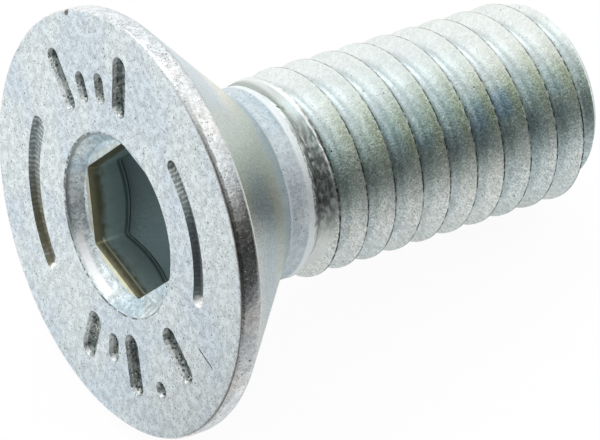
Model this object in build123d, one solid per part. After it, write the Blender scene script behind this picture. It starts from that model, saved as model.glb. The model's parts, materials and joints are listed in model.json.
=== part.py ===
from build123d import *
import math
import os

# Countersunk socket screw, M8 x 1.25 x 20, forged, thread-rolled and zinc plated in one piece.
# Every size is in millimetres and is the size over the plating.
#
# The screw is first drawn standing on its head: the flat face is at z = 0 and the axis is +Z, towards
# the point. The +X side of that drawing is the side that is uppermost when the screw lies down.
# All angles round the axis are counted anticlockwise from that side, seen from the point.

# Head
head_diameter = 16.0
face_edge_chamfer = 0.12        # broken edge between the flat face and the rim
rim_height = 0.775              # straight land round the head
rim_back_radius = 0.3           # rounding between the land and the cone
cone_angle = 90.0               # included angle of the underside

# Shank
neck_diameter = 7.32            # plain stretch, the size of the blank before rolling
neck_fillet_radius = 0.4        # rounding where the cone meets the neck
neck_length = 1.05              # from the sharp corner of cone and neck to the first trace of thread
overall_length = 19.6           # nominal 20

# Thread, right-handed
thread_diameter = 7.82
root_diameter = 6.4
pitch = 1.25
flank_angle = 60.0              # included angle of the groove
crest_width = 0.18              # flat left on top of the ridge
crest_run_out = 1.1             # length over which the crests rise out of the neck
root_run_out = 0.8              # length over which the groove reaches its full depth
end_chamfer = 0.81              # 45 degree chamfer at the point

# Hexagon socket
socket_width = 5.0              # across flats
socket_depth = 3.67             # to the bottom of the cone
socket_point_angle = 120.0      # included angle of the conical bottom
socket_corner_angle = 33.0      # where one corner of the hexagon points
lead_in_width = 5.2             # the hexagon widens to this where it opens into the recess
lead_in_depth = 0.3

# Round recess in the face, round the mouth of the socket
recess_diameter = 6.92          # on the face
recess_depth = 0.6              # of its flat floor
recess_wall_angle = 35.0        # slope of its wall, from the axis

# Arc grooves pressed into the face, one on each side of the socket
mark_depth = 0.2
mark_wall_angle = 25.0          # slope of the groove's sides
left_mark_radius = 5.5          # to the middle of the groove
left_mark_width = 0.78
left_mark_angles = (216.0, 273.0)
right_mark_radius = 5.27
right_mark_width = 0.6
right_mark_angles = (26.0, 80.0)

# Sizes that follow from those above
head_radius = head_diameter / 2
neck_radius = neck_diameter / 2
thread_radius = thread_diameter / 2
root_radius = root_diameter / 2
cone_slope = math.tan(math.radians(cone_angle / 2))
neck_start = rim_height + (head_radius - neck_radius) / cone_slope
thread_start = neck_start + neck_length
chamfer_start = overall_length - end_chamfer
groove_width = pitch - crest_width
groove_slope = math.tan(math.radians(flank_angle / 2))
clear = 1.0                     # how far a cutter stands clear of the metal


def corner(profile, x, z):
    """The corner of a flat profile at distance x from the axis and height z."""
    return profile.vertices().sort_by_distance(Vector(x, 0, z))[0]


def make_blank():
    """The screw as a turned shape, with neither thread nor socket."""
    outline = Polyline(
        (0, 0, 0),
        (head_radius, 0, 0),
        (head_radius, 0, rim_height),
        (neck_radius, 0, neck_start),
        (neck_radius, 0, thread_start),
        (thread_radius, 0, thread_start + crest_run_out),
        (thread_radius, 0, chamfer_start),
        (thread_radius - end_chamfer, 0, overall_length),
        (0, 0, overall_length),
        close=True,
    )
    profile = make_face(outline)
    profile = chamfer(corner(profile, head_radius, 0), face_edge_chamfer)
    profile = fillet(corner(profile, head_radius, rim_height), rim_back_radius)
    profile = fillet(corner(profile, neck_radius, neck_start), neck_fillet_radius)
    return revolve(profile, Axis.Z)


def make_thread_core():
    """The metal inside the thread: the root cylinder, widening towards the head to end the groove."""
    widening = (neck_radius - root_radius) / root_run_out
    full_depth_start = thread_start + root_run_out
    outer_radius = thread_radius + clear
    outer_start = full_depth_start - (outer_radius - root_radius) / widening
    far_end = overall_length + 3 * pitch
    outline = Polyline(
        (0, 0, outer_start - clear),
        (outer_radius, 0, outer_start - clear),
        (outer_radius, 0, outer_start),
        (root_radius, 0, full_depth_start),
        (root_radius, 0, far_end),
        (0, 0, far_end),
        close=True,
    )
    return revolve(make_face(outline), Axis.Z)


def make_groove_turn(start):
    """One turn of the helical groove, whose middle is at height start on the +X side."""
    top_half = groove_width / 2 + crest_width / 4
    top_radius = thread_radius + crest_width / 4 / groove_slope
    bottom_radius = top_radius - top_half / groove_slope
    section = make_face(
        Polyline(
            (bottom_radius, 0, start),
            (top_radius, 0, start - top_half),
            (top_radius, 0, start + top_half),
            close=True,
        )
    )
    turn = Helix(pitch, pitch, bottom_radius, center=(0, 0, start))
    return sweep(section, path=turn, is_frenet=True)


def cut_thread(blank):
    """Cut the groove into the blank, turn by turn. The last full crest under the lying screw ends
    where the chamfer starts, because that is the place where the screw touches the ground."""
    core = make_thread_core()
    crest_below = chamfer_start - crest_width / 2
    turns_before = math.ceil((crest_below - thread_start) / pitch)
    turns_after = math.ceil((overall_length - crest_below) / pitch)
    for turn in range(-turns_before, turns_after + 1):
        blank -= make_groove_turn(crest_below + turn * pitch) - core
    return blank


def make_socket():
    """What the punch leaves: a hexagon with a conical bottom, whose edges are broken at the top."""
    corner_radius = socket_width / 2 / math.cos(math.radians(30))
    point_slope = 1 / math.tan(math.radians(socket_point_angle / 2))
    side_depth = socket_depth - (corner_radius + clear) * point_slope
    point = make_face(
        Polyline(
            (0, 0, 0),
            (corner_radius + clear, 0, 0),
            (corner_radius + clear, 0, side_depth),
            (0, 0, socket_depth),
            close=True,
        )
    )
    hexagon = RegularPolygon(corner_radius, 6, rotation=socket_corner_angle)
    punched = extrude(hexagon, socket_depth) & revolve(point, Axis.Z)
    wide_radius = lead_in_width / 2 / math.cos(math.radians(30))
    wide_hexagon = RegularPolygon(wide_radius, 6, rotation=socket_corner_angle)
    widening = math.degrees(math.atan2((lead_in_width - socket_width) / 2, lead_in_depth))
    lead_in = extrude(wide_hexagon, lead_in_depth, taper=widening)
    return punched + Pos(0, 0, recess_depth) * lead_in


def make_recess():
    """The round recess that the socket opens into, with a sloping wall and a flat floor."""
    top_radius = recess_diameter / 2
    floor_radius = top_radius - recess_depth * math.tan(math.radians(recess_wall_angle))
    outline = Polyline(
        (0, 0, 0),
        (top_radius, 0, 0),
        (floor_radius, 0, recess_depth),
        (0, 0, recess_depth),
        close=True,
    )
    return revolve(make_face(outline), Axis.Z)


def make_mark(radius, width, angles):
    """An arc groove in the face, with sloping sides and round ends."""
    first, last = angles
    middle = CenterArc((0, 0, 0), radius, first, last - first)
    return extrude(SlotArc(middle, width), mark_depth, taper=mark_wall_angle)


def lying_plane():
    """Where the drawing's XY plane goes when the screw lies on its rim and its last full crest.

    The ground touches the rounding behind the rim and the corner of crest and chamfer, so the axis
    slopes down towards the point by the slope of the line that touches both."""
    rounding_x = rim_height - rim_back_radius * math.tan(math.radians(cone_angle / 4))
    rounding_radius = head_radius - rim_back_radius
    along = chamfer_start - rounding_x
    down = rounding_radius - thread_radius
    slope = math.atan2(down, along) + math.asin(rim_back_radius / math.hypot(along, down))
    toward_point = (math.cos(slope), 0, -math.sin(slope))
    upward = (math.sin(slope), 0, math.cos(slope))
    return Plane(origin=(0, 0, 0), x_dir=upward, z_dir=toward_point)


def make_screw():
    """The whole screw, lying on the ground with its box's bottom centre at the origin."""
    screw = cut_thread(make_blank()) - make_recess() - make_socket()
    screw -= make_mark(left_mark_radius, left_mark_width, left_mark_angles)
    screw -= make_mark(right_mark_radius, right_mark_width, right_mark_angles)
    lying = lying_plane().location * screw
    box = lying.bounding_box()
    return Pos(-box.center().X, -box.center().Y, -box.min.Z) * lying


os.makedirs("parts", exist_ok=True)
export_step(make_screw(), "parts/screw.step")
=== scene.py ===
import json
import math

import bmesh
import bpy
from mathutils import Matrix, Vector


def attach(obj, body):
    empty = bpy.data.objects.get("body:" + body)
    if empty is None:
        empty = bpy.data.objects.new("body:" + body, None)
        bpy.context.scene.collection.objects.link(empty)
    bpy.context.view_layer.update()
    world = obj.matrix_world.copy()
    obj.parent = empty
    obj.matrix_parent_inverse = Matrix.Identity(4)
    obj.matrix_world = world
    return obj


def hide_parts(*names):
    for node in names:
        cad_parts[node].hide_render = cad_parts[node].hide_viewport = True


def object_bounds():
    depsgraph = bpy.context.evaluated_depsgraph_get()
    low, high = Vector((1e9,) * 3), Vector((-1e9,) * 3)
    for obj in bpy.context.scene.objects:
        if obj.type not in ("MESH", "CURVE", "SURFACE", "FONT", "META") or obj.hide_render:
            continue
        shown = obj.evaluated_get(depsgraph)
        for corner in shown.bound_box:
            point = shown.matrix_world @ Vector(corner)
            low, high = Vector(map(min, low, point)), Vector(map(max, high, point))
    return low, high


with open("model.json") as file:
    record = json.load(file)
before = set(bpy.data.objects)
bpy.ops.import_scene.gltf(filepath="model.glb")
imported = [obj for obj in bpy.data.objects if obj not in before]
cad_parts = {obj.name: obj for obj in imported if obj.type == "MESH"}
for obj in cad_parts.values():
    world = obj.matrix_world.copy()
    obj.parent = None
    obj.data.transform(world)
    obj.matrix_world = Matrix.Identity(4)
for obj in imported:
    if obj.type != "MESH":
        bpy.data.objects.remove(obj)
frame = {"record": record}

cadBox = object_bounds()

# the screw is modelled in millimetres, standing on its head: face at z = 0, point upwards.
# Its +X side is the one that is uppermost when it lies down.
millimetre = 0.001


def lyingPlace():
    # where the standing screw goes: the socket's mount gives the face's centre and the axis
    mounts = frame["record"]["mounts"]
    socket = next(mount for mount in mounts if mount["name"] == "hexagon_socket")
    towardPoint = -Vector(socket["axis"]).normalized()
    sideways = towardPoint.cross(Vector((0, 0, 1))).normalized()
    upward = sideways.cross(towardPoint)
    turn = Matrix((upward, towardPoint.cross(upward), towardPoint)).transposed().to_4x4()
    return Matrix.Translation(socket["pos_m"]) @ turn @ Matrix.Scale(millimetre, 4)


# ---- small helpers for shapes


def clearSelection():
    if bpy.context.mode != "OBJECT":
        bpy.ops.object.mode_set(mode="OBJECT")
    bpy.ops.object.select_all(action="DESELECT")


def pickOnly(piece):
    clearSelection()
    piece.select_set(True)
    bpy.context.view_layer.objects.active = piece


def startEditing(piece, pickMode="VERT"):
    pickOnly(piece)
    bpy.ops.object.mode_set(mode="EDIT")
    bpy.ops.mesh.select_mode(type=pickMode)


def stopEditing():
    bpy.ops.object.mode_set(mode="OBJECT")


def pickAll():
    bpy.ops.mesh.select_all(action="SELECT")


def pickVerts(piece, wanted):
    mesh = bmesh.from_edit_mesh(piece.data)
    for vert in mesh.verts:
        vert.select = wanted(vert.co)
    mesh.select_flush_mode()
    bmesh.update_edit_mesh(piece.data)


def pickEdges(piece, wanted):
    mesh = bmesh.from_edit_mesh(piece.data)
    bpy.ops.mesh.select_all(action="DESELECT")
    for edge in mesh.edges:
        edge.select = wanted(edge.verts[0].co, edge.verts[1].co)
    bmesh.update_edit_mesh(piece.data)


def pointOutwards():
    pickAll()
    bpy.ops.mesh.normals_make_consistent(inside=False)


def applyPlace():
    bpy.ops.object.transform_apply(location=True, rotation=True, scale=True)


def extrudeRing(rise, scale, centre=(0, 0, 0)):
    bpy.ops.mesh.extrude_region_move(TRANSFORM_OT_translate={"value": (0, 0, rise)})
    bpy.ops.transform.resize(value=(scale, scale, 1), center_override=centre)


def turnShape(name, stations, sides):
    # a turned shape: a disc, drawn out ring by ring through (radius, height), and closed at the top
    radius, height = stations[0]
    clearSelection()
    bpy.ops.mesh.primitive_circle_add(vertices=sides, radius=radius, fill_type="NGON",
                                      location=(0, 0, height))
    piece = bpy.context.object
    piece.name = name
    applyPlace()
    startEditing(piece, "EDGE")
    pickAll()
    bpy.ops.mesh.region_to_loop()
    for nextRadius, nextHeight in stations[1:]:
        extrudeRing(nextHeight - height, nextRadius / radius)
        radius, height = nextRadius, nextHeight
    bpy.ops.mesh.edge_face_add()
    pointOutwards()
    stopEditing()
    return piece


def combine(piece, tool, operation):
    # boolean with a tool that is used up; the cut faces take the tool's material
    pickOnly(piece)
    boolean = piece.modifiers.new(operation.lower(), "BOOLEAN")
    boolean.operation = operation
    boolean.solver = "EXACT"
    boolean.material_mode = "TRANSFER"
    boolean.object = tool
    bpy.ops.object.modifier_apply(modifier=boolean.name)
    bpy.data.objects.remove(tool)
    return piece


def bevelRing(piece, radius, height, width, segments):
    # rounds the ring of edges that lies at this radius and height
    within = 0.01
    startEditing(piece, "EDGE")

    def onRing(a, b):
        return all(abs(math.hypot(co.x, co.y) - radius) < within and abs(co.z - height) < within
                   for co in (a, b))

    pickEdges(piece, onRing)
    bpy.ops.mesh.bevel(offset=width, segments=segments, affect="EDGES", profile=0.5)
    stopEditing()


# ---- small helpers for materials


def linear(hexColour):
    channels = [int(hexColour[i:i + 2], 16) / 255 for i in (1, 3, 5)]
    return [c / 12.92 if c <= 0.04045 else ((c + 0.055) / 1.055) ** 2.4 for c in channels] + [1.0]


def newMaterial(name):
    material = bpy.data.materials.new(name)
    material.use_nodes = True
    return material, material.node_tree


def addNode(tree, kind, settings=None, inputs=None):
    # adds one node, sets its properties, and fills or links its inputs
    node = tree.nodes.new(kind)
    for name, value in (settings or {}).items():
        setattr(node, name, value)
    for name, value in (inputs or {}).items():
        if isinstance(value, bpy.types.NodeSocket):
            tree.links.new(value, node.inputs[name])
        else:
            node.inputs[name].default_value = value
    return node


def polar(tree, point):
    # the point's height, its distance from the z axis, and its angle round it in radians
    parts = addNode(tree, "ShaderNodeSeparateXYZ", inputs={"Vector": point})
    x, y = parts.outputs["X"], parts.outputs["Y"]
    flat = addNode(tree, "ShaderNodeCombineXYZ", inputs={"X": x, "Y": y})
    radius = addNode(tree, "ShaderNodeVectorMath", {"operation": "LENGTH"},
                     {0: flat.outputs["Vector"]})
    angle = addNode(tree, "ShaderNodeMath", {"operation": "ARCTAN2"}, {0: y, 1: x})
    return {"point": point, "height": parts.outputs["Z"], "radius": radius.outputs["Value"],
            "angle": angle.outputs["Value"]}


def screwSpace(tree):
    # millimetres as the screw is modelled: its axis is z, from the face
    where, turn, scale = lyingPlace().decompose()
    coords = addNode(tree, "ShaderNodeTexCoord")
    place = addNode(tree, "ShaderNodeMapping", {"vector_type": "TEXTURE"},
                    {"Vector": coords.outputs["Object"], "Location": where,
                     "Rotation": turn.to_euler(), "Scale": scale})
    return polar(tree, place.outputs["Vector"])


def ramp(tree, value, low, high, toLow=0.0, toHigh=1.0):
    # rises smoothly from toLow to toHigh while the value goes from low to high
    node = addNode(tree, "ShaderNodeMapRange", {"interpolation_type": "SMOOTHSTEP"},
                   {"Value": value, "From Min": low, "From Max": high,
                    "To Min": toLow, "To Max": toHigh})
    return node.outputs["Result"]


def product(tree, *factors):
    result = factors[0]
    for factor in factors[1:]:
        node = addNode(tree, "ShaderNodeMath", {"operation": "MULTIPLY"}, {0: result, 1: factor})
        result = node.outputs["Value"]
    return result


def addScaled(tree, value, other, amount):
    # value + amount * other; where other is noise, an edge drawn at one value comes out ragged
    return addNode(tree, "ShaderNodeMath", {"operation": "MULTIPLY_ADD"},
                   {0: other, 1: amount, 2: value}).outputs["Value"]


def band(tree, value, low, high, soft):
    # 1 between low and high, fading over soft at both ends
    return product(tree, ramp(tree, value, low - soft, low + soft),
                   ramp(tree, value, high - soft, high + soft, 1, 0))


def paint(tree, under, cover, amount, blend="MIX"):
    # of a mix node's sockets 6, 7 and output 2 are for colours, and 2, 3 and output 0 for values
    node = addNode(tree, "ShaderNodeMix", {"data_type": "RGBA", "blend_type": blend},
                   {0: amount, 6: under, 7: cover})
    return node.outputs[2]


def grains(tree, point, size, detail=2.0):
    # cloudy noise whose grains are about this many millimetres, which is half a cell of the noise
    noise = addNode(tree, "ShaderNodeTexNoise",
                    inputs={"Vector": point, "Scale": 0.5 / size, "Detail": detail})
    return noise.outputs["Fac"]


def dots(tree, point, spacing, share, size):
    # round dots in cells that are spacing millimetres wide, of which only a share has one
    full = 0.6    # share of a dot's radius
    cells = addNode(tree, "ShaderNodeTexVoronoi", inputs={"Vector": point, "Scale": 1 / spacing})
    chance = addNode(tree, "ShaderNodeSeparateColor", inputs={"Color": cells.outputs["Color"]})
    dot = ramp(tree, cells.outputs["Distance"], size * full / spacing, size / spacing, 1, 0)
    return product(tree, dot, ramp(tree, chance.outputs["Red"], 1 - share, 1 - share + 0.02))


def spotAt(tree, point, place, size):
    full = 0.7    # share of the spot's radius
    apart = addNode(tree, "ShaderNodeVectorMath", {"operation": "DISTANCE"}, {0: point, 1: place})
    return ramp(tree, apart.outputs["Value"], size * full, size, 1, 0)


def alongAngle(tree, point, angle):
    # how far a point lies from the z axis in this direction, as square to a side of the hexagon
    turn = math.radians(angle)
    return addNode(tree, "ShaderNodeVectorMath", {"operation": "DOT_PRODUCT"},
                   {0: point, 1: (math.cos(turn), math.sin(turn), 0)}).outputs["Value"]


# ---- the screw's sizes, in millimetres and degrees

blankSizes = {
    "headDiameter": 16.0,
    "faceEdgeChamfer": 0.12,
    "rimHeight": 0.775,
    "rimBackRounding": 0.3,
    "coneAngle": 90.0,
    "neckDiameter": 7.32,
    "neckRounding": 0.4,
    "neckLength": 1.05,
    "crestRunOut": 1.1,
    "threadDiameter": 7.82,
    "endChamfer": 0.81,
    "endRounding": 0.08,
    "length": 19.6,
    "sides": 256,
}
threadSizes = {
    "pitch": 1.25,
    "rootDiameter": 6.4,
    "flankAngle": 60.0,
    "crestWidth": 0.09,
    "crestRounding": 0.04,
    "flankRounding": 0.05,
    "rootRunOut": 0.8,
    "stepsPerTurn": 96,
    "coreSides": 192,
}
socketSizes = {
    "width": 5.0,
    "depth": 3.67,
    "pointAngle": 120.0,
    "cornerAngle": 33.0,
    "cornerRounding": 0.1,
    "leadInWidth": 5.2,
    "leadInDepth": 0.3,
    "pointSides": 96,
}
recessSizes = {
    "diameter": 6.92,
    "depth": 0.6,
    "wallAngle": 35.0,
    "lipRounding": 0.1,
    "sides": 192,
}
markSizes = {
    "above": 0.1,    # how far the cutters stand clear of the face
    "wallAngle": 25.0,
    "arcDepth": 0.2,
    "arcs": [
        {"radius": 5.5, "width": 0.78, "angles": (216.0, 273.0)},
        {"radius": 5.27, "width": 0.6, "angles": (26.0, 80.0)},
    ],
    "strokeDepth": 0.3,
    "strokes": [    # angle, distance of its middle from the axis, length, width
        (304.0, 5.68, 2.45, 0.74), (317.5, 5.15, 1.2, 0.6), (331.0, 5.15, 1.2, 0.6),
        (345.0, 5.6, 2.4, 0.84), (180.5, 5.45, 2.1, 0.84), (165.0, 5.1, 1.2, 0.64),
        (150.5, 5.35, 2.4, 0.88), (114.5, 5.3, 2.25, 0.88), (134.5, 6.15, 0.66, 0.62),
    ],
    "scratchDepth": 0.03,
    "scratch": (98.8, 6.37, 0.97, 0.06),
}

# where one stretch of the screw ends and the next begins
headRadius = blankSizes["headDiameter"] / 2
faceRadius = headRadius - blankSizes["faceEdgeChamfer"]
neckRadius = blankSizes["neckDiameter"] / 2
threadRadius = blankSizes["threadDiameter"] / 2
rootRadius = threadSizes["rootDiameter"] / 2
recessRadius = recessSizes["diameter"] / 2
coneSlope = math.tan(math.radians(blankSizes["coneAngle"] / 2))
neckStart = blankSizes["rimHeight"] + (headRadius - neckRadius) / coneSlope
threadStart = neckStart + blankSizes["neckLength"]
chamferStart = blankSizes["length"] - blankSizes["endChamfer"]
# the last full crest under the screw ends where the chamfer starts: the screw lies on it
crestBelow = chamferStart - threadSizes["crestWidth"] / 2
leadInEnd = recessSizes["depth"] + socketSizes["leadInDepth"]
clear = 1.0    # how far a cutter stands clear of the metal

# ---- finishes: one zinc plating, whose ground differs with how the steel under it was made

# in these dictionaries sizes are millimetres, a tint is a colour with its greatest strength, and
# angles are radians round the axis, from the side that lies uppermost. Zinc's own crystals are
# thousandths of a millimetre wide, too fine to show, so the grain is drawn as coarse as it needs.
groundLook = dict(    # noise gathers round 0.5: each pattern starts and is full at these values
    clouds=(0.4, 0.6), grain=(0.32, 0.68), mottle=(0.34, 0.66), roughness=(0.3, 0.7),
    grainDetail=3.0, mottleDetail=1.0, grainLight=1.08,
)


def startZinc(name, look):
    # crystalline zinc under a thin clear chromate: pale blue-grey, clouded, grained and pitted
    material, tree = newMaterial(name)
    space = screwSpace(tree)
    point = space["point"]
    clouds = ramp(tree, grains(tree, point, look["cloudSize"]), *groundLook["clouds"])
    colour = paint(tree, linear(look["pale"]), linear(look["blue"]), clouds)
    grain = grains(tree, point, look["grainSize"], groundLook["grainDetail"])
    shade = ramp(tree, grain, *groundLook["grain"], look["grainDark"], groundLook["grainLight"])
    colour = paint(tree, colour, shade, 1.0, "MULTIPLY")
    mottle = grains(tree, point, look["mottleSize"], groundLook["mottleDetail"])
    mottle = ramp(tree, mottle, *groundLook["mottle"], *look["mottle"])
    colour = paint(tree, colour, mottle, 1.0, "MULTIPLY")
    pits = dots(tree, point, look["pitSpacing"], look["pitShare"], look["pitSize"])
    pits = product(tree, pits, look["pitDepth"])
    colour = paint(tree, colour, linear(look["pit"]), pits)
    spots = dots(tree, point, look["spotSpacing"], look["spotShare"], look["spotSize"])
    colour = paint(tree, colour, linear(look["spot"]), spots)
    return {"material": material, "tree": tree, "space": space, "colour": colour,
            "pits": pits, "spots": spots, "relief": grains(tree, point, look["reliefSize"]),
            "roughness": ramp(tree, grain, *groundLook["roughness"], *look["roughness"])}


def tint(zinc, cover, amount, blend="MIX"):
    # lays one more colour over the zinc so far
    hexColour, strength = cover
    tree = zinc["tree"]
    amount = product(tree, amount, strength)
    zinc["colour"] = paint(tree, zinc["colour"], linear(hexColour), amount, blend)


def finishZinc(zinc, look):
    tree = zinc["tree"]
    shader = tree.nodes["Principled BSDF"]
    shader.inputs["Metallic"].default_value = 1.0
    dents = addNode(tree, "ShaderNodeMath", {"operation": "MAXIMUM"},
                    {0: zinc["pits"], 1: zinc["spots"]})
    height = addNode(tree, "ShaderNodeMath", {"operation": "SUBTRACT"},
                     {0: zinc["relief"], 1: dents.outputs["Value"]})
    bump = addNode(tree, "ShaderNodeBump",
                   inputs={"Strength": look["bump"], "Distance": look["bumpDepth"] * millimetre,
                           "Height": height.outputs["Value"]})
    tree.links.new(zinc["colour"], shader.inputs["Base Color"])
    tree.links.new(zinc["roughness"], shader.inputs["Roughness"])
    tree.links.new(bump.outputs["Normal"], shader.inputs["Normal"])
    return zinc["material"]


rimNick = dict(place=(6.0, -5.2, 0.0), size=0.17, dirt=("#5b4d40", 0.85))


def addNick(zinc):
    # a knock on the edge between face and rim, brown with dirt, which shows on both
    nick = spotAt(zinc["tree"], zinc["space"]["point"], rimNick["place"], rimNick["size"])
    tint(zinc, rimNick["dirt"], nick)


forgedGround = dict(
    pale="#dde5e6", blue="#d3dee5", cloudSize=1.8,
    grainSize=0.035, grainDark=0.9, mottleSize=0.15, mottle=(0.86, 1.07),
    pit="#98a2a6", pitSize=0.036, pitSpacing=0.08, pitShare=0.4, pitDepth=0.9,
    spot="#687074", spotSize=0.045, spotSpacing=0.24, spotShare=0.2,
    roughness=(0.42, 0.56), reliefSize=0.045, bump=0.5, bumpDepth=0.012,
)
faceLook = dict(
    forgedGround, raggedSize=0.12,
    edgeStain=("#75695c", 0.8), stainWidth=0.1, stainAngles=(0.3, 2.1),
    recessLine=("#6f7674", 1.0), recessLineWidths=(0.02, 0.05),    # inside and outside the edge
)


def makeFaceZinc(look):
    # forged against the die and pickled: an even, matt, light grey with fine dark pits
    zinc = startZinc("zincOnForgedFace", look)
    tree, space = zinc["tree"], zinc["space"]
    ragged = grains(tree, space["point"], look["raggedSize"])
    # a ragged darker line along the face's edge, drawn on one side of the screw only
    edge = addScaled(tree, space["radius"], ragged, 0.12)
    line = ramp(tree, edge, faceRadius, faceRadius + look["stainWidth"])
    litSide = band(tree, space["angle"], *look["stainAngles"], 0.3)
    tint(zinc, look["edgeStain"], product(tree, litSide, line))
    inside, outside = look["recessLineWidths"]
    ring = band(tree, space["radius"], recessRadius - inside, recessRadius + outside, 0.02)
    tint(zinc, look["recessLine"], product(tree, ring, ramp(tree, ragged, 0.35, 0.6)))
    addNick(zinc)
    return finishZinc(zinc, look)


rimLook = dict(
    pale="#ebecea", blue="#e0e5e8", cloudSize=1.4,
    grainSize=0.04, grainDark=0.82, mottleSize=0.13, mottle=(0.86, 1.1),
    pit="#6f6a63", pitSize=0.035, pitSpacing=0.1, pitShare=0.3, pitDepth=0.7,
    spot="#4f4a44", spotSize=0.05, spotSpacing=0.3, spotShare=0.2,
    roughness=(0.14, 0.28), reliefSize=0.07, bump=0.7, bumpDepth=0.016,
    raggedSize=0.12,
    frontLine=("#62655f", 0.75), frontWidth=0.08, frontAngles=(0.35, 1.15),
    worn=("#a9a8a4", 1.0), wornAngles=(0.8, 1.05),
    backLine=("#a3abab", 0.5), backHeights=(0.66, 0.74),
)


def makeRimZinc(look):
    # the land round the head was rubbed against other screws: glossier, with brown-grey specks
    zinc = startZinc("zincOnRim", look)
    tree, space = zinc["tree"], zinc["space"]
    ragged = grains(tree, space["point"], look["raggedSize"])
    front = addScaled(tree, space["height"], ragged, -0.2)
    front = ramp(tree, front, 0.0, look["frontWidth"], 1, 0)
    front = product(tree, front, band(tree, space["angle"], *look["frontAngles"], 0.2))
    tint(zinc, look["frontLine"], front)
    # painted shade: a ragged darker band part way round the rim, where it looks darkest
    worn = band(tree, space["angle"], *look["wornAngles"], 0.15)
    worn = product(tree, worn, ramp(tree, ragged, 0.3, 0.6, 0.5, 1))
    tint(zinc, look["worn"], worn, "MULTIPLY")
    tint(zinc, look["backLine"], ramp(tree, space["height"], *look["backHeights"]))
    addNick(zinc)
    return finishZinc(zinc, look)


coneLook = dict(
    pale="#d6d8d0", blue="#bccad0", cloudSize=2.2,
    grainSize=0.035, grainDark=0.87, mottleSize=0.12, mottle=(0.93, 1.05),
    pit="#8b8f8a", pitSize=0.03, pitSpacing=0.12, pitShare=0.25, pitDepth=0.5,
    spot="#6b706d", spotSize=0.04, spotSpacing=0.6, spotShare=0.1,
    roughness=(0.24, 0.32), reliefSize=0.06, bump=0.6, bumpDepth=0.008,
    straw=("#ccd0b8", 0.6), strawBeforeNeck=(1.9, 0.7), strawSoft=0.5,
    bluish=("#aebfcb", 0.6), bluishBeforeNeck=(0.6, -0.4), bluishSoft=0.3,
    dull=("#9aa8a4", 0.5), dullAngles=(0.2, 0.75),
)


def makeConeZinc(look):
    # the underside was ironed smooth in the die: satin, with straw and blue in the chromate
    zinc = startZinc("zincOnCone", look)
    tree, space = zinc["tree"], zinc["space"]
    for colour in ("straw", "bluish"):
        low, high = (neckStart - distance for distance in look[colour + "BeforeNeck"])
        tint(zinc, look[colour], band(tree, space["height"], low, high, look[colour + "Soft"]))
    # painted shade: a darker band part way round the cone
    tint(zinc, look["dull"], band(tree, space["angle"], *look["dullAngles"], 0.2))
    return finishZinc(zinc, look)


neckLook = dict(
    pale="#eef5f8", blue="#dfeaf0", cloudSize=1.2,
    grainSize=0.035, grainDark=0.84, mottleSize=0.12, mottle=(0.92, 1.06),
    pit="#7b8688", pitSize=0.032, pitSpacing=0.1, pitShare=0.4, pitDepth=0.55,
    spot="#4b5150", spotSize=0.045, spotSpacing=0.35, spotShare=0.15,
    roughness=(0.5, 0.65), reliefSize=0.06, bump=0.8, bumpDepth=0.015,
    duller=("#dde2e4", 1.0), brightAngles=(0.85, 1.25),
    end=("#f3f7f8", 0.8), endHeights=(5.86, 5.98),
)


def makeNeckZinc(look):
    # drawn wire under the plating: a cool grey with specks, brighter where the rolling dies began
    zinc = startZinc("zincOnNeck", look)
    tree, space = zinc["tree"], zinc["space"]
    # painted shade: the neck is darkened all round except one band, which is left lighter
    bright = band(tree, space["angle"], *look["brightAngles"], 0.3)
    tint(zinc, look["duller"], addScaled(tree, 1.0, bright, -1.0), "MULTIPLY")
    tint(zinc, look["end"], ramp(tree, space["height"], *look["endHeights"]))
    return finishZinc(zinc, look)


threadLook = dict(
    pale="#f4f8f6", blue="#e6f0f1", cloudSize=2.4,
    grainSize=0.035, grainDark=0.78, mottleSize=0.1, mottle=(0.88, 1.08),
    pit="#7f8b88", pitSize=0.032, pitSpacing=0.1, pitShare=0.35, pitDepth=0.5,
    spot="#535a58", spotSize=0.042, spotSpacing=0.33, spotShare=0.14,
    roughness=(0.28, 0.38), reliefSize=0.035, bump=0.9, bumpDepth=0.014,
    endFaceRadii=(2.75, 3.1), tintCloudSize=1.5,
    calm=("#e6ebea", 1.0), calmAngles=(0.0, 0.6),
    grit=(1.14, 0.74), gritSize=0.03, gritAngles=(0.45, 1.9),
    straw=("#e8eac9", 1.0), strawAngles=(0.3, 0.95),
    sky=("#e9f3ee", 1.0), skyAngles=(0.45, 1.3),
    bluish=("#d3dcef", 1.0), bluishAngles=(0.45, 1.0),
    root=("#d0d7d9", 1.0), rootRoughness=0.06,
    runOut=("#e4e8e6", 1.0), runOutHeights=(6.17, 7.0),
    ring=("#8f9a94", 0.65), ringHeights=(6.42, 6.58),
    streak=("#434a47", 0.7), streakSize=0.045, streakAngles=(0.3, 1.4),
    blot=("#1f1d1a", 1.0), blotPlace=(3.51, -0.12, 6.42), blotSize=0.09,
    crestRaggedSize=0.07, crestOnset=0.03,
    crest=("#e4e8e4", 1.0), crestPhases=(0.445, 0.472),
    torn=("#434947", 1.0), tornPhases=(0.479, 0.58), tornSize=0.11,
)


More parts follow.
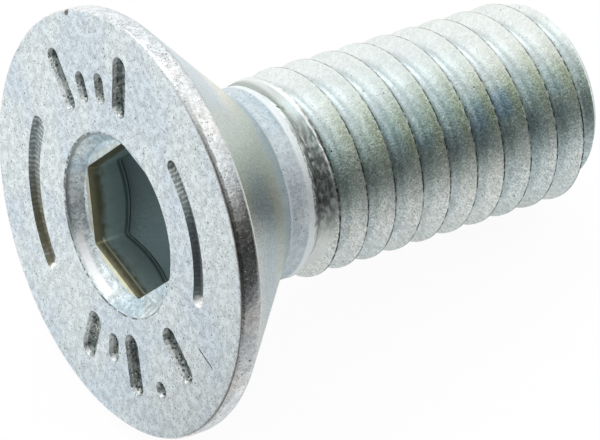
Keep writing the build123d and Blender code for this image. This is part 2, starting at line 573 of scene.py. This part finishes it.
def tintFlanks(zinc, look):
    # even on the uppermost side; below it grainy, straw towards the crests and blue in the roots
    tree, space = zinc["tree"], zinc["space"]
    point, radius, angle, height = (space[name] for name in ("point", "radius", "angle", "height"))
    clouds = grains(tree, point, look["tintCloudSize"])
    # the end face lies across all angles, so it has none of the tints that go by the angle
    offEnd = ramp(tree, radius, *look["endFaceRadii"])
    calm = ramp(tree, angle, *look["calmAngles"], 0.6, 0)
    tint(zinc, look["calm"], product(tree, calm, offEnd))
    grit = ramp(tree, grains(tree, point, look["gritSize"]), 0.4, 0.64, *look["grit"])
    gritty = product(tree, band(tree, angle, *look["gritAngles"], 0.3), offEnd)
    zinc["colour"] = paint(tree, zinc["colour"], grit, gritty, "MULTIPLY")
    upFlank = ramp(tree, radius, rootRadius + 0.25, threadRadius - 0.1)
    downFlank = ramp(tree, radius, rootRadius + 0.1, threadRadius, 1, 0.2)
    straw = addScaled(tree, 0.12, band(tree, angle, *look["strawAngles"], 0.3), 0.75)
    straw = product(tree, upFlank, ramp(tree, clouds, 0.3, 0.6, 0.35, 1), straw,
                    ramp(tree, height, 8, 12, 0.5, 1))
    tint(zinc, look["straw"], straw, "MULTIPLY")
    sky = product(tree, downFlank, band(tree, angle, *look["skyAngles"], 0.3), offEnd)
    tint(zinc, look["sky"], sky, "MULTIPLY")
    bluish = product(tree, downFlank, offEnd, band(tree, angle, *look["bluishAngles"], 0.25),
                     ramp(tree, clouds, 0.45, 0.6), ramp(tree, height, 9, 12))
    tint(zinc, look["bluish"], bluish, "MULTIPLY")
    # painted shade in the roots, which are also made a little rougher
    root = ramp(tree, radius, rootRadius + 0.02, rootRadius + 0.28, 1, 0)
    tint(zinc, look["root"], product(tree, root, offEnd), "MULTIPLY")
    zinc["roughness"] = addScaled(tree, zinc["roughness"], root, look["rootRoughness"])


def streakRunOut(zinc, look):
    # the run-out of the thread is finely streaked along the turn, with a darker ring and a dark
    # blot; the dark streaks are laid only part way round, partly as painted shade
    tree, space = zinc["tree"], zinc["space"]
    angle, height = space["angle"], space["height"]
    unrolled = addNode(tree, "ShaderNodeCombineXYZ", inputs={"X": height, "Y": angle})
    streaks = grains(tree, unrolled.outputs["Vector"], look["streakSize"], 3.0)
    runOut = band(tree, height, *look["runOutHeights"], 0.06)
    streaked = product(tree, runOut, band(tree, angle, *look["streakAngles"], 0.3),
                       ramp(tree, streaks, 0.38, 0.58))
    tint(zinc, look["runOut"], runOut)
    tint(zinc, look["ring"], band(tree, height, *look["ringHeights"], 0.05))
    tint(zinc, look["streak"], streaked)
    tint(zinc, look["blot"], spotAt(tree, space["point"], look["blotPlace"], look["blotSize"]))
    relief = addNode(tree, "ShaderNodeMix", {"data_type": "FLOAT"},
                     {0: runOut, 2: zinc["relief"], 3: streaks})
    zinc["relief"] = relief.outputs[0]


def lineCrests(zinc, look):
    # each crest has a pale line towards the head, partly wear and partly a painted highlight
    # strongest on the uppermost side, and a ragged painted shadow along its edge towards the point
    tree, space = zinc["tree"], zinc["space"]
    angle, height = space["angle"], space["height"]
    pitch = threadSizes["pitch"]
    ragged = grains(tree, space["point"], look["crestRaggedSize"])
    # the phase is where a point lies in the pitch: 0.5 is the middle of a crest
    turned = addScaled(tree, height, angle, -pitch / (2 * math.pi))
    turned = addScaled(tree, turned, ragged, 0.06)
    fromCrest = addNode(tree, "ShaderNodeMath", {"operation": "SUBTRACT"},
                        {0: turned, 1: crestBelow + look["crestOnset"]})
    turns = addNode(tree, "ShaderNodeMath", {"operation": "DIVIDE"},
                    {0: fromCrest.outputs["Value"], 1: pitch})
    phase = addNode(tree, "ShaderNodeMath", {"operation": "FRACT"}, {0: turns.outputs["Value"]})
    phase = phase.outputs["Value"]
    outer = ramp(tree, space["radius"], threadRadius - 0.12, threadRadius - 0.06)
    # partly wear and partly a painted highlight, strongest on the uppermost side
    worn = product(tree, outer, band(tree, phase, *look["crestPhases"], 0.01),
                   ramp(tree, ragged, 0.4, 0.55, 0.3, 0.95), ramp(tree, height, 9, 14, 0.3, 1),
                   ramp(tree, angle, 0.2, 0.6, 1, 0.3))
    tint(zinc, look["crest"], worn)
    # a painted shadow along each crest's edge towards the point, darkest away from the top
    torn = grains(tree, space["point"], look["tornSize"])
    torn = product(tree, ramp(tree, torn, 0.38, 0.55, 0.5, 1), ramp(tree, angle, 0.1, 0.5, 0.65, 1))
    edge = product(tree, outer, band(tree, phase, *look["tornPhases"], 0.01), torn)
    tint(zinc, look["torn"], edge)


def makeThreadZinc(look):
    # rolled flanks: satin, with straw and blue chromate tints, crests partly worn and partly
    # painted bright, and painted shade in the roots and beside the crests
    zinc = startZinc("zincOnThread", look)
    tintFlanks(zinc, look)
    streakRunOut(zinc, look)
    lineCrests(zinc, look)
    return finishZinc(zinc, look)


socketLook = dict(
    pale="#e4f4f1", blue="#d0dfe0", cloudSize=1.8,
    grainSize=0.035, grainDark=0.8, mottleSize=0.12, mottle=(0.84, 1.1),
    pit="#c9cdb8", pitSize=0.03, pitSpacing=0.2, pitShare=0.2, pitDepth=0.8,
    spot="#3f4644", spotSize=0.06, spotSpacing=0.6, spotShare=0.2,
    roughness=(0.34, 0.48), reliefSize=0.045, bump=0.4, bumpDepth=0.008,
    deep=("#e0f2f0", 0.8), deepHeights=(0.6, 1.4),
    foot=("#46575a", 0.6), bottom=("#46575a", 0.95),
    drag=("#8a7d55", 0.85), dragHeights=(0.6, 1.0), raggedSize=0.16,
    glint=("#f4f1d6", 1.0), glintSide=socketSizes["cornerAngle"] + 150,
)


def makeSocketZinc(look):
    # dark teal walls with bright specks, brown near the mouth; the foot of the walls and the
    # conical bottom are painted darker
    zinc = startZinc("zincInSocket", look)
    tree, space = zinc["tree"], zinc["space"]
    height = space["height"]
    tint(zinc, look["deep"], ramp(tree, height, *look["deepHeights"]))
    # this height is the socket's full depth all over the conical bottom, and less on the walls
    coneRise = 1 / math.tan(math.radians(socketSizes["pointAngle"] / 2))
    onCone = addScaled(tree, height, space["radius"], coneRise)
    depth = socketSizes["depth"]
    bottom = ramp(tree, onCone, depth - 0.06, depth - 0.01)
    tint(zinc, look["foot"], band(tree, onCone, depth - 0.22, depth - 0.1, 0.03))
    tint(zinc, look["bottom"], bottom)
    ragged = grains(tree, space["point"], look["raggedSize"])
    drag = ramp(tree, addScaled(tree, height, ragged, -0.5), *look["dragHeights"], 1, 0)
    tint(zinc, look["drag"], drag)
    # the broken edge glints where it faces the light
    side = alongAngle(tree, space["point"], look["glintSide"])
    halfWidth = socketSizes["width"] / 2
    glint = product(tree, ramp(tree, side, halfWidth - 0.2, halfWidth - 0.05),
                    band(tree, height, leadInEnd - 0.03, leadInEnd + 0.05, 0.015))
    tint(zinc, look["glint"], glint)
    return finishZinc(zinc, look)


recessLook = dict(
    pale="#e6f0f2", blue="#cfe1e9", cloudSize=1.0,
    grainSize=0.035, grainDark=0.78, mottleSize=0.12, mottle=(0.8, 1.1),
    pit="#77786f", pitSize=0.034, pitSpacing=0.09, pitShare=0.3, pitDepth=0.6,
    spot="#55534c", spotSize=0.05, spotSpacing=0.4, spotShare=0.15,
    roughness=(0.4, 0.56), reliefSize=0.045, bump=0.5, bumpDepth=0.01,
    raggedSize=0.14,
    edges=[    # side of the hexagon, counted from its first corner in degrees, and its tint
        (150, ("#f1ebc6", 0.85)), (210, ("#b9ad92", 0.7)), (270, ("#d6d3c2", 0.4)),
    ],
    edgeWidths=(2.5, 2.82), floorRadii=(2.9, 2.98),
    ring=("#6a716c", 0.75), ringHeights=(0.06, 0.22), ringAngles=(-2.4, -0.7),
    crescent=("#fbfdfe", 0.9), crescentHeights=(0.1, 0.36),
    crescentPlace=(-2.95, -1.1, 0.3), crescentReach=1.6,
)


def makeRecessZinc(look):
    # the round recess: dished by the punch, brighter than the face and a little brown in its pits
    zinc = startZinc("zincInRecess", look)
    tree, space = zinc["tree"], zinc["space"]
    point = space["point"]
    ragged = grains(tree, point, look["raggedSize"])
    # painted light on three sides of the hexagon's edge: a cream highlight on the side that faces
    # the light, darker tan and grey shade on the next two
    for fromCorner, cover in look["edges"]:
        side = alongAngle(tree, point, socketSizes["cornerAngle"] + fromCorner)
        edge = product(tree, band(tree, side, *look["edgeWidths"], 0.06),
                       ramp(tree, space["radius"], *look["floorRadii"], 1, 0))
        tint(zinc, cover, product(tree, edge, ramp(tree, ragged, 0.3, 0.55, 0.5, 1)))
    # painted shade: a darker line along the top of the wall, part way round
    ring = product(tree, ramp(tree, space["height"], *look["ringHeights"], 1, 0),
                   band(tree, space["angle"], *look["ringAngles"], 0.3))
    tint(zinc, look["ring"], ring)
    # a painted highlight: a bright crescent on the wall, on one side
    crescent = product(tree, spotAt(tree, point, look["crescentPlace"], look["crescentReach"]),
                       band(tree, space["height"], *look["crescentHeights"], 0.05))
    tint(zinc, look["crescent"], crescent)
    return finishZinc(zinc, look)


tornGround = dict(
    pale="#b9c0bb", blue="#9aa5a5", cloudSize=0.5,
    grainSize=0.09, grainDark=0.6, mottleSize=0.1, mottle=(0.7, 1.2),
    pit="#3d4341", pitSize=0.05, pitSpacing=0.1, pitShare=0.55, pitDepth=0.85,
    spot="#f0f2e6", spotSize=0.045, spotSpacing=0.2, spotShare=0.35,
    roughness=(0.25, 0.5), reliefSize=0.09, bump=0.9, bumpDepth=0.04,
)
stampLook = dict(tornGround, wall=("#dfe4e4", 0.75), wallHeights=(0.12, 0.17))


def makeStampZinc(look):
    # the punch tore the bottom: dark and crumbled, with glints, under cleaner walls
    zinc = startZinc("zincInStamp", look)
    wall = ramp(zinc["tree"], zinc["space"]["height"], *look["wallHeights"], 1, 0)
    tint(zinc, look["wall"], wall)
    return finishZinc(zinc, look)


arcLook = dict(
    tornGround, pale="#d9e0df", blue="#c2cdd0", grainSize=0.05, grainDark=0.72, mottle=(0.8, 1.1),
    pitDepth=0.4, roughness=(0.4, 0.55), bump=0.6, bumpDepth=0.02, raggedSize=0.16,
    hatch=("#87918f", 0.75), hatchSpacing=0.19, hatchRadius=5.4, hatchWander=7.0,
    olive=("#7d7960", 1.0), oliveAngles=(-2.7, -2.0),
    steel=("#757e82", 0.8), steelAngles=(0.78, 1.45),
    end=("#ffffff", 1.0), endSize=0.4, ends=((5.5, 212.5), (5.27, 83.0)),
)


def makeArcZinc(look):
    # the arcs were hatched across, tooth by tooth, by the header's tool
    zinc = startZinc("zincInArc", look)
    tree, space = zinc["tree"], zinc["space"]
    angle = space["angle"]
    ragged = grains(tree, space["point"], look["raggedSize"])
    teeth = product(tree, angle, 2 * math.pi * look["hatchRadius"] / look["hatchSpacing"])
    teeth = addScaled(tree, teeth, ragged, look["hatchWander"])
    wave = addNode(tree, "ShaderNodeMath", {"operation": "SINE"}, {0: teeth})
    tint(zinc, look["hatch"], ramp(tree, wave.outputs["Value"], -0.2, 0.8, 1, 0))
    # the left arc turns olive at its lower end, and the right one is steel grey along its middle
    olive = product(tree, band(tree, angle, *look["oliveAngles"], 0.25),
                    ramp(tree, ragged, 0.3, 0.6, 0.5, 0.9))
    tint(zinc, look["olive"], olive)
    tint(zinc, look["steel"], band(tree, angle, *look["steelAngles"], 0.12))
    # a painted highlight: a white spot at one end of each arc, where its end wall faces the light
    for radius, degrees in look["ends"]:
        turn = math.radians(degrees)
        place = (radius * math.cos(turn), radius * math.sin(turn), 0.1)
        tint(zinc, look["end"], spotAt(tree, space["point"], place, look["endSize"]))
    return finishZinc(zinc, look)


scratchLook = dict(forgedGround, pale="#5d6669", blue="#4c5457", mottle=(0.8, 1.2))


def makeScratchZinc(look):
    # a later scratch through the plating, dark with dirt
    return finishZinc(startZinc("zincInScratch", look), look)


zincOnFace = makeFaceZinc(faceLook)
zincOnRim = makeRimZinc(rimLook)
zincOnCone = makeConeZinc(coneLook)
zincOnNeck = makeNeckZinc(neckLook)
zincOnThread = makeThreadZinc(threadLook)
zincInSocket = makeSocketZinc(socketLook)
zincInRecess = makeRecessZinc(recessLook)
zincInStamp = makeStampZinc(stampLook)
zincInArc = makeArcZinc(arcLook)
zincInScratch = makeScratchZinc(scratchLook)
print("zinc finishes mixed")

# ---- the screw's blank


def makeBlank(sizes):
    endRadius = threadRadius - sizes["endChamfer"]
    stations = [
        (headRadius, 0),
        (headRadius, sizes["rimHeight"]),
        (neckRadius, neckStart),
        (neckRadius, threadStart),
        (threadRadius, threadStart + sizes["crestRunOut"]),
        (threadRadius, chamferStart),
        (endRadius, sizes["length"]),
    ]
    blank = turnShape("screw", stations, sizes["sides"])
    # a rounding of radius 1 starts this far from the corner of the cone
    setback = math.tan(math.radians(sizes["coneAngle"] / 4))
    for radius, height, width, segments in (
            (headRadius, 0, sizes["faceEdgeChamfer"], 3),
            (headRadius, sizes["rimHeight"], sizes["rimBackRounding"] * setback, 5),
            (neckRadius, neckStart, sizes["neckRounding"] * setback, 6),
            (endRadius, sizes["length"], sizes["endRounding"], 3)):
        bevelRing(blank, radius, height, width, segments)
    for zinc in (zincOnFace, zincOnRim, zincOnCone, zincOnNeck, zincOnThread):
        blank.data.materials.append(zinc)
    faceEnd = 0.02
    limits = (faceEnd, sizes["rimHeight"], neckStart, threadStart)
    for face in blank.data.polygons:
        face.material_index = sum(face.center.z > limit for limit in limits)
    return blank


screw = makeBlank(blankSizes)
print("blank turned:", len(screw.data.polygons), "faces")

# ---- the rolled thread


def makeThreadCore(sizes):
    # the metal inside the thread: it widens towards the head, which ends the groove
    fullDepth = threadStart + sizes["rootRunOut"]
    widening = (neckRadius - rootRadius) / sizes["rootRunOut"]
    outerRadius = threadRadius + clear
    outerStart = fullDepth - (outerRadius - rootRadius) / widening
    stations = [(outerRadius, outerStart - clear), (outerRadius, outerStart),
                (rootRadius, fullDepth), (rootRadius, blankSizes["length"] + 4 * clear)]
    return turnShape("threadCore", stations, sizes["coreSides"])


def makeGrooveSection(sizes, start):
    # the groove's section: rounded root, 60 degree flanks, and a flare that rounds the crests
    slope = math.tan(math.radians(sizes["flankAngle"] / 2))
    mouthHalf = (sizes["pitch"] - sizes["crestWidth"]) / 2
    rootHalf = mouthHalf - (threadRadius - rootRadius) * slope
    flareStart = threadRadius - sizes["crestRounding"]
    flareHalf = mouthHalf - sizes["crestRounding"] * slope
    outerHalf = mouthHalf + sizes["crestWidth"] * 0.25
    middle = (flareStart + rootRadius) / 2
    clearSelection()
    bpy.ops.mesh.primitive_plane_add(size=1, rotation=(math.pi / 2, 0, 0))
    section = bpy.context.object
    applyPlace()
    startEditing(section)
    pickAll()
    bpy.ops.transform.resize(value=(flareStart - rootRadius, 1, 2 * flareHalf),
                             center_override=(0, 0, 0))
    bpy.ops.transform.translate(value=(middle, 0, 0))
    pickVerts(section, lambda co: co.x < middle)
    bpy.ops.transform.resize(value=(1, 1, rootHalf / flareHalf), center_override=(0, 0, 0))
    pickVerts(section, lambda co: co.x > middle)
    # out to the crest with the flare, and then straight on to stand clear of it
    for rise, widening in ((sizes["crestRounding"] + 0.02, outerHalf / flareHalf), (0.2, 1)):
        bpy.ops.mesh.extrude_region_move(TRANSFORM_OT_translate={"value": (rise, 0, 0)})
        bpy.ops.transform.resize(value=(1, 1, widening), center_override=(0, 0, 0))
    pickAll()
    bpy.ops.mesh.dissolve_faces()
    pickVerts(section, lambda co: co.x < middle)
    bpy.ops.mesh.bevel(offset=rootHalf * 0.98, segments=4, affect="VERTICES")
    pickVerts(section, lambda co: abs(co.x - flareStart) < 0.001)
    bpy.ops.mesh.bevel(offset=sizes["flankRounding"], segments=3, affect="VERTICES")
    pickAll()
    bpy.ops.transform.translate(value=(0, 0, start))
    bpy.ops.mesh.delete(type="ONLY_FACE")
    stopEditing()
    return section


def makeGroove(sizes):
    pitch = sizes["pitch"]
    turnsBefore = math.ceil((crestBelow - threadStart) / pitch)
    turnsAfter = math.ceil((blankSizes["length"] - crestBelow) / pitch) + 1
    groove = makeGrooveSection(sizes, crestBelow - turnsBefore * pitch)
    groove.name = "groove"
    turning = groove.modifiers.new("turning", "SCREW")
    turning.angle = 2 * math.pi
    turning.screw_offset = pitch
    turning.iterations = turnsBefore + turnsAfter
    turning.steps = turning.render_steps = sizes["stepsPerTurn"]
    turning.use_smooth_shade = False
    bpy.ops.object.modifier_apply(modifier=turning.name)
    startEditing(groove, "EDGE")
    pickAll()
    bpy.ops.mesh.fill_holes(sides=0)
    pointOutwards()
    stopEditing()
    groove.data.materials.append(zincOnThread)
    return groove


groove = combine(makeGroove(threadSizes), makeThreadCore(threadSizes), "DIFFERENCE")
print("groove:", len(groove.data.polygons), "faces")
combine(screw, groove, "DIFFERENCE")
print("thread rolled:", len(screw.data.polygons), "faces")

# ---- the hexagon socket, in its round recess


def makePunch(sizes):
    toCorner = 1 / math.cos(math.radians(30)) / 2
    cornerRadius = sizes["width"] * toCorner
    wideRadius = sizes["leadInWidth"] * toCorner
    start = recessSizes["depth"]
    above = 0.2
    stations = [(wideRadius, start - above), (wideRadius, start), (cornerRadius, leadInEnd),
                (cornerRadius, sizes["depth"])]
    punch = turnShape("punch", stations, 6)
    startEditing(punch, "EDGE")
    pickEdges(punch, lambda a, b: abs(a.z - b.z) > 0.01)
    bpy.ops.mesh.bevel(offset=sizes["cornerRounding"], segments=3, affect="EDGES")
    stopEditing()
    punch.rotation_euler.z = math.radians(sizes["cornerAngle"] - 90)
    applyPlace()
    reach = cornerRadius + clear
    rise = reach / math.tan(math.radians(sizes["pointAngle"] / 2))
    tip = 0.05    # a turned shape can't end in a sharp point
    stations = [(reach, -2 * clear), (reach, sizes["depth"] - rise), (tip, sizes["depth"])]
    combine(punch, turnShape("point", stations, sizes["pointSides"]), "INTERSECT")
    punch.data.materials.clear()
    punch.data.materials.append(zincInSocket)
    for face in punch.data.polygons:
        face.material_index = 0
    return punch


def makeRecess(sizes):
    above = 0.5
    slope = math.tan(math.radians(sizes["wallAngle"]))
    stations = [(recessRadius + above * slope, -above),
                (recessRadius - sizes["depth"] * slope, sizes["depth"])]
    recess = turnShape("recess", stations, sizes["sides"])
    recess.data.materials.append(zincInRecess)
    return recess


combine(screw, makeRecess(recessSizes), "DIFFERENCE")
bevelRing(screw, recessRadius, 0, recessSizes["lipRounding"], 3)
combine(screw, makePunch(socketSizes), "DIFFERENCE")
print("socket punched:", len(screw.data.polygons), "faces")

# ---- marks pressed into the face: two arcs, and plain strokes like those of a scale


def pressDown(outline, depth, taper):
    # draws a flat outline down into a cutter with sloping sides, which stands clear of the face
    pickAll()
    bpy.ops.mesh.edge_face_add()
    pointOutwards()
    mesh = bmesh.from_edit_mesh(outline.data)
    if mesh.faces[:][0].normal.z < 0:
        bpy.ops.mesh.flip_normals()
    deep = depth + markSizes["above"]
    bpy.ops.mesh.inset(thickness=deep * taper, depth=deep)
    pickAll()
    bpy.ops.mesh.region_to_loop()
    bpy.ops.mesh.edge_face_add()
    pickAll()
    bpy.ops.transform.translate(value=(0, 0, -markSizes["above"]))
    pointOutwards()


def makeArcMark(radius, width, angles):
    # one vertex is spun along the outline: round an end, along the arc, round the other, and back
    taper = math.tan(math.radians(markSizes["wallAngle"]))
    inner = radius - (width / 2 + markSizes["above"] * taper)
    first, last = (math.radians(angle) for angle in angles)
    ends = [(radius * math.cos(angle), radius * math.sin(angle), 0) for angle in (first, last)]
    clearSelection()
    start = (inner * math.cos(first), inner * math.sin(first), 0)
    bpy.ops.mesh.primitive_plane_add(size=0.1, location=start)
    mark = bpy.context.object
    applyPlace()
    startEditing(mark)
    pickAll()
    bpy.ops.mesh.merge(type="CENTER")
    pickAll()
    # spin turns clockwise for a positive angle
    for steps, angle, centre in ((10, -math.pi, ends[0]), (40, first - last, (0, 0, 0)),
                                 (10, -math.pi, ends[1]), (40, last - first, (0, 0, 0))):
        bpy.ops.mesh.spin(steps=steps, angle=angle, center=centre, axis=(0, 0, 1))
    pickAll()
    bpy.ops.mesh.remove_doubles(threshold=0.001)
    pressDown(mark, markSizes["arcDepth"], taper)
    stopEditing()
    mark.data.materials.append(zincInArc)
    return mark


def makeStroke(angle, radius, length, width, depth, zinc):
    # a circle, pulled out into a bar with round ends
    taper = math.tan(math.radians(markSizes["wallAngle"]))
    half = width / 2 + markSizes["above"] * taper
    sides = 20
    clearSelection()
    bpy.ops.mesh.primitive_circle_add(vertices=sides, radius=half,
                                      rotation=(0, 0, math.pi / sides))
    stroke = bpy.context.object
    applyPlace()
    startEditing(stroke)
    for side in (-1, 1):
        pickVerts(stroke, lambda co: co.x * side > 0)
        bpy.ops.transform.translate(value=(side * (length - width) / 2, 0, 0))
    pickAll()
    bpy.ops.transform.translate(value=(radius, 0, 0))
    pressDown(stroke, depth, taper)
    stopEditing()
    stroke.rotation_euler.z = math.radians(angle)
    applyPlace()
    stroke.data.materials.append(zinc)
    return stroke


for arc in markSizes["arcs"]:
    combine(screw, makeArcMark(arc["radius"], arc["width"], arc["angles"]), "DIFFERENCE")
for stroke in markSizes["strokes"]:
    combine(screw, makeStroke(*stroke, markSizes["strokeDepth"], zincInStamp), "DIFFERENCE")
scratch = makeStroke(*markSizes["scratch"], markSizes["scratchDepth"], zincInScratch)
combine(screw, scratch, "DIFFERENCE")
print("marks pressed:", len(screw.data.polygons), "faces")

# ---- laid down in its place

smoothUpTo = 32    # degrees between faces that are shaded as one surface

pickOnly(screw)
screw.name = "zincPlatedScrew"
screw.matrix_world = lyingPlace()
applyPlace()
bpy.ops.object.shade_smooth_by_angle(angle=math.radians(smoothUpTo))
flatten = screw.modifiers.new("flatten", "WEIGHTED_NORMAL")    # keeps the face evenly shaded
flatten.keep_sharp = True
bpy.ops.object.modifier_apply(modifier=flatten.name)
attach(screw, "root")
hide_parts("screw")

# ---- floor, light and camera

low, high = cadBox
middle = (Vector(low) + Vector(high)) / 2
white = (1, 1, 1, 1)

floorLook = dict(size=4.0, paper="#f2f2f2", roughness=0.9, toCamera=0.93, inMetal=0.35)


def seenDirectly(tree, toCamera, inMetal):
    # one amount for what the camera sees, and one for what it sees in metal or through glass
    path = addNode(tree, "ShaderNodeLightPath")
    seen = product(tree, path.outputs["Is Camera Ray"], toCamera)
    for ray in ("Is Glossy Ray", "Is Transmission Ray"):
        reflected = product(tree, path.outputs[ray], inMetal)
        seen = addNode(tree, "ShaderNodeMath", {"operation": "MAXIMUM"},
                       {0: seen, 1: reflected}).outputs["Value"]
    return seen


def addFloor(look):
    # pale paper; what the camera and the metal see of it is lifted to white, and the shadow stays
    clearSelection()
    bpy.ops.mesh.primitive_plane_add(size=look["size"], location=(0, 0, 0))
    floor = bpy.context.object
    floor.name = "floor"
    paper, tree = newMaterial("paleFloor")
    shader = tree.nodes["Principled BSDF"]
    shader.inputs["Base Color"].default_value = linear(look["paper"])
    shader.inputs["Roughness"].default_value = look["roughness"]
    shader.inputs["Specular IOR Level"].default_value = 0.0
    glow = addNode(tree, "ShaderNodeEmission", inputs={"Color": white, "Strength": 1.0})
    lift = addNode(tree, "ShaderNodeMixShader",
                   inputs={0: seenDirectly(tree, look["toCamera"], look["inMetal"]),
                           1: shader.outputs["BSDF"], 2: glow.outputs["Emission"]})
    tree.links.new(lift.outputs["Shader"], tree.nodes["Material Output"].inputs["Surface"])
    floor.data.materials.append(paper)


worldLook = dict(nearSide=-105.0, light=1.12, nearLight=1.08)    # degrees, and strengths


def addWorld(look):
    # a white room, dimmer above the near side; the camera sees it plain white
    world = bpy.data.worlds.new("studio")
    bpy.context.scene.world = world
    world.use_nodes = True
    tree = world.node_tree
    coords = addNode(tree, "ShaderNodeTexCoord")
    toward = alongAngle(tree, coords.outputs["Generated"], look["nearSide"])
    light = ramp(tree, toward, 0.0, 0.5, look["light"], look["nearLight"])
    path = addNode(tree, "ShaderNodeLightPath")
    strength = addNode(tree, "ShaderNodeMix", {"data_type": "FLOAT"},
                       {0: path.outputs["Is Camera Ray"], 2: light, 3: 1.0})
    background = tree.nodes["Background"]
    background.inputs["Color"].default_value = white
    tree.links.new(strength.outputs[0], background.inputs["Strength"])


softboxLook = dict(direction=(0.1, 0.6, 0.8), distance=0.5, size=(0.3, 0.3), power=0.5)


def addSoftbox(name, look):
    data = bpy.data.lights.new(name, "AREA")
    data.shape = "RECTANGLE"
    data.size, data.size_y = look["size"]
    data.energy = look["power"]
    lamp = bpy.data.objects.new(name, data)
    bpy.context.scene.collection.objects.link(lamp)
    lamp.location = middle + Vector(look["direction"]).normalized() * look["distance"]
    lamp.rotation_euler = (middle - lamp.location).to_track_quat("-Z", "Y").to_euler()


flagSizes = {    # metres and strengths of light; angles are degrees round the screw
    "start": 180.0, "end": 336.0, "sides": 120, "aboveFloor": 0.0002,
    "foot": 0.0125, "wall": 0.027, "height": 0.06,
    "footGlow": 0.6, "bendGlow": 0.4, "dark": 0.07, "topGlow": 1.1, "endGlow": 0.9,
    "lowFade": (0.0005, 0.009), "topFade": (0.0144, 0.0504),
    "startFade": 0.2, "endFade": 0.45,    # radians
}


def addFlag(sizes):
    # a dark card, curved round the near side from the floor up; it is seen only in the metal
    clearSelection()
    bpy.ops.mesh.primitive_circle_add(vertices=sizes["sides"], radius=sizes["foot"],
                                      location=(middle.x, middle.y, sizes["aboveFloor"]))
    flag = bpy.context.object
    flag.name = "flag"
    startEditing(flag, "EDGE")
    pickAll()
    centre = (middle.x, middle.y, 0)
    extrudeRing(0, sizes["wall"] / sizes["foot"], centre)
    extrudeRing(sizes["height"], 1, centre)

    def outside(co):
        turn = math.degrees(math.atan2(co.y, co.x)) % 360
        return not sizes["start"] <= turn <= sizes["end"]

    pickVerts(flag, outside)
    bpy.ops.mesh.delete(type="VERT")
    stopEditing()
    applyPlace()
    card, tree = newMaterial("darkCard")
    coords = addNode(tree, "ShaderNodeTexCoord")
    space = polar(tree, coords.outputs["Object"])
    lying = ramp(tree, space["radius"], sizes["foot"], sizes["wall"],
                 sizes["footGlow"], sizes["bendGlow"])
    foot = product(tree, lying, ramp(tree, space["height"], *sizes["lowFade"], 1, 0))
    top = ramp(tree, space["height"], *sizes["topFade"], sizes["dark"], sizes["topGlow"])
    both = addScaled(tree, foot, top, 1.0)
    first, last = (math.radians(sizes[side] - 360) for side in ("start", "end"))
    ends = product(tree, ramp(tree, space["angle"], first, first + sizes["startFade"]),
                   ramp(tree, space["angle"], last - sizes["endFade"], last, 1, 0))
    strength = addNode(tree, "ShaderNodeMix", {"data_type": "FLOAT"},
                       {0: ends, 2: sizes["endGlow"], 3: both})
    glow = addNode(tree, "ShaderNodeEmission",
                   inputs={"Color": white, "Strength": strength.outputs[0]})
    tree.links.new(glow.outputs["Emission"], tree.nodes["Material Output"].inputs["Surface"])
    flag.data.materials.append(card)
    flag.visible_camera = flag.visible_diffuse = flag.visible_shadow = False


cameraView = {
    "lens": 265.2,
    "sensor": 36.0,
    "viewDirection": (0.3614, 0.55062, -0.75247),
    "distance": 159.0,
    "aim": (-3.38, -3.44, 0.16),    # millimetres from the middle of the screw's box
}


def addCamera(view):
    data = bpy.data.cameras.new("camera")
    data.lens = view["lens"]
    data.sensor_width = view["sensor"]
    data.clip_start = 0.01
    camera = bpy.data.objects.new("camera", data)
    bpy.context.scene.collection.objects.link(camera)
    direction = Vector(view["viewDirection"]).normalized()
    camera.location = middle + millimetre * (Vector(view["aim"]) - direction * view["distance"])
    camera.rotation_euler = direction.to_track_quat("-Z", "Y").to_euler()
    bpy.context.scene.camera = camera


addFloor(floorLook)
addWorld(worldLook)
addFlag(flagSizes)
addSoftbox("backSoftbox", softboxLook)
addCamera(cameraView)
bpy.context.scene.view_settings.view_transform = "Standard"
print("floor, light and camera set")
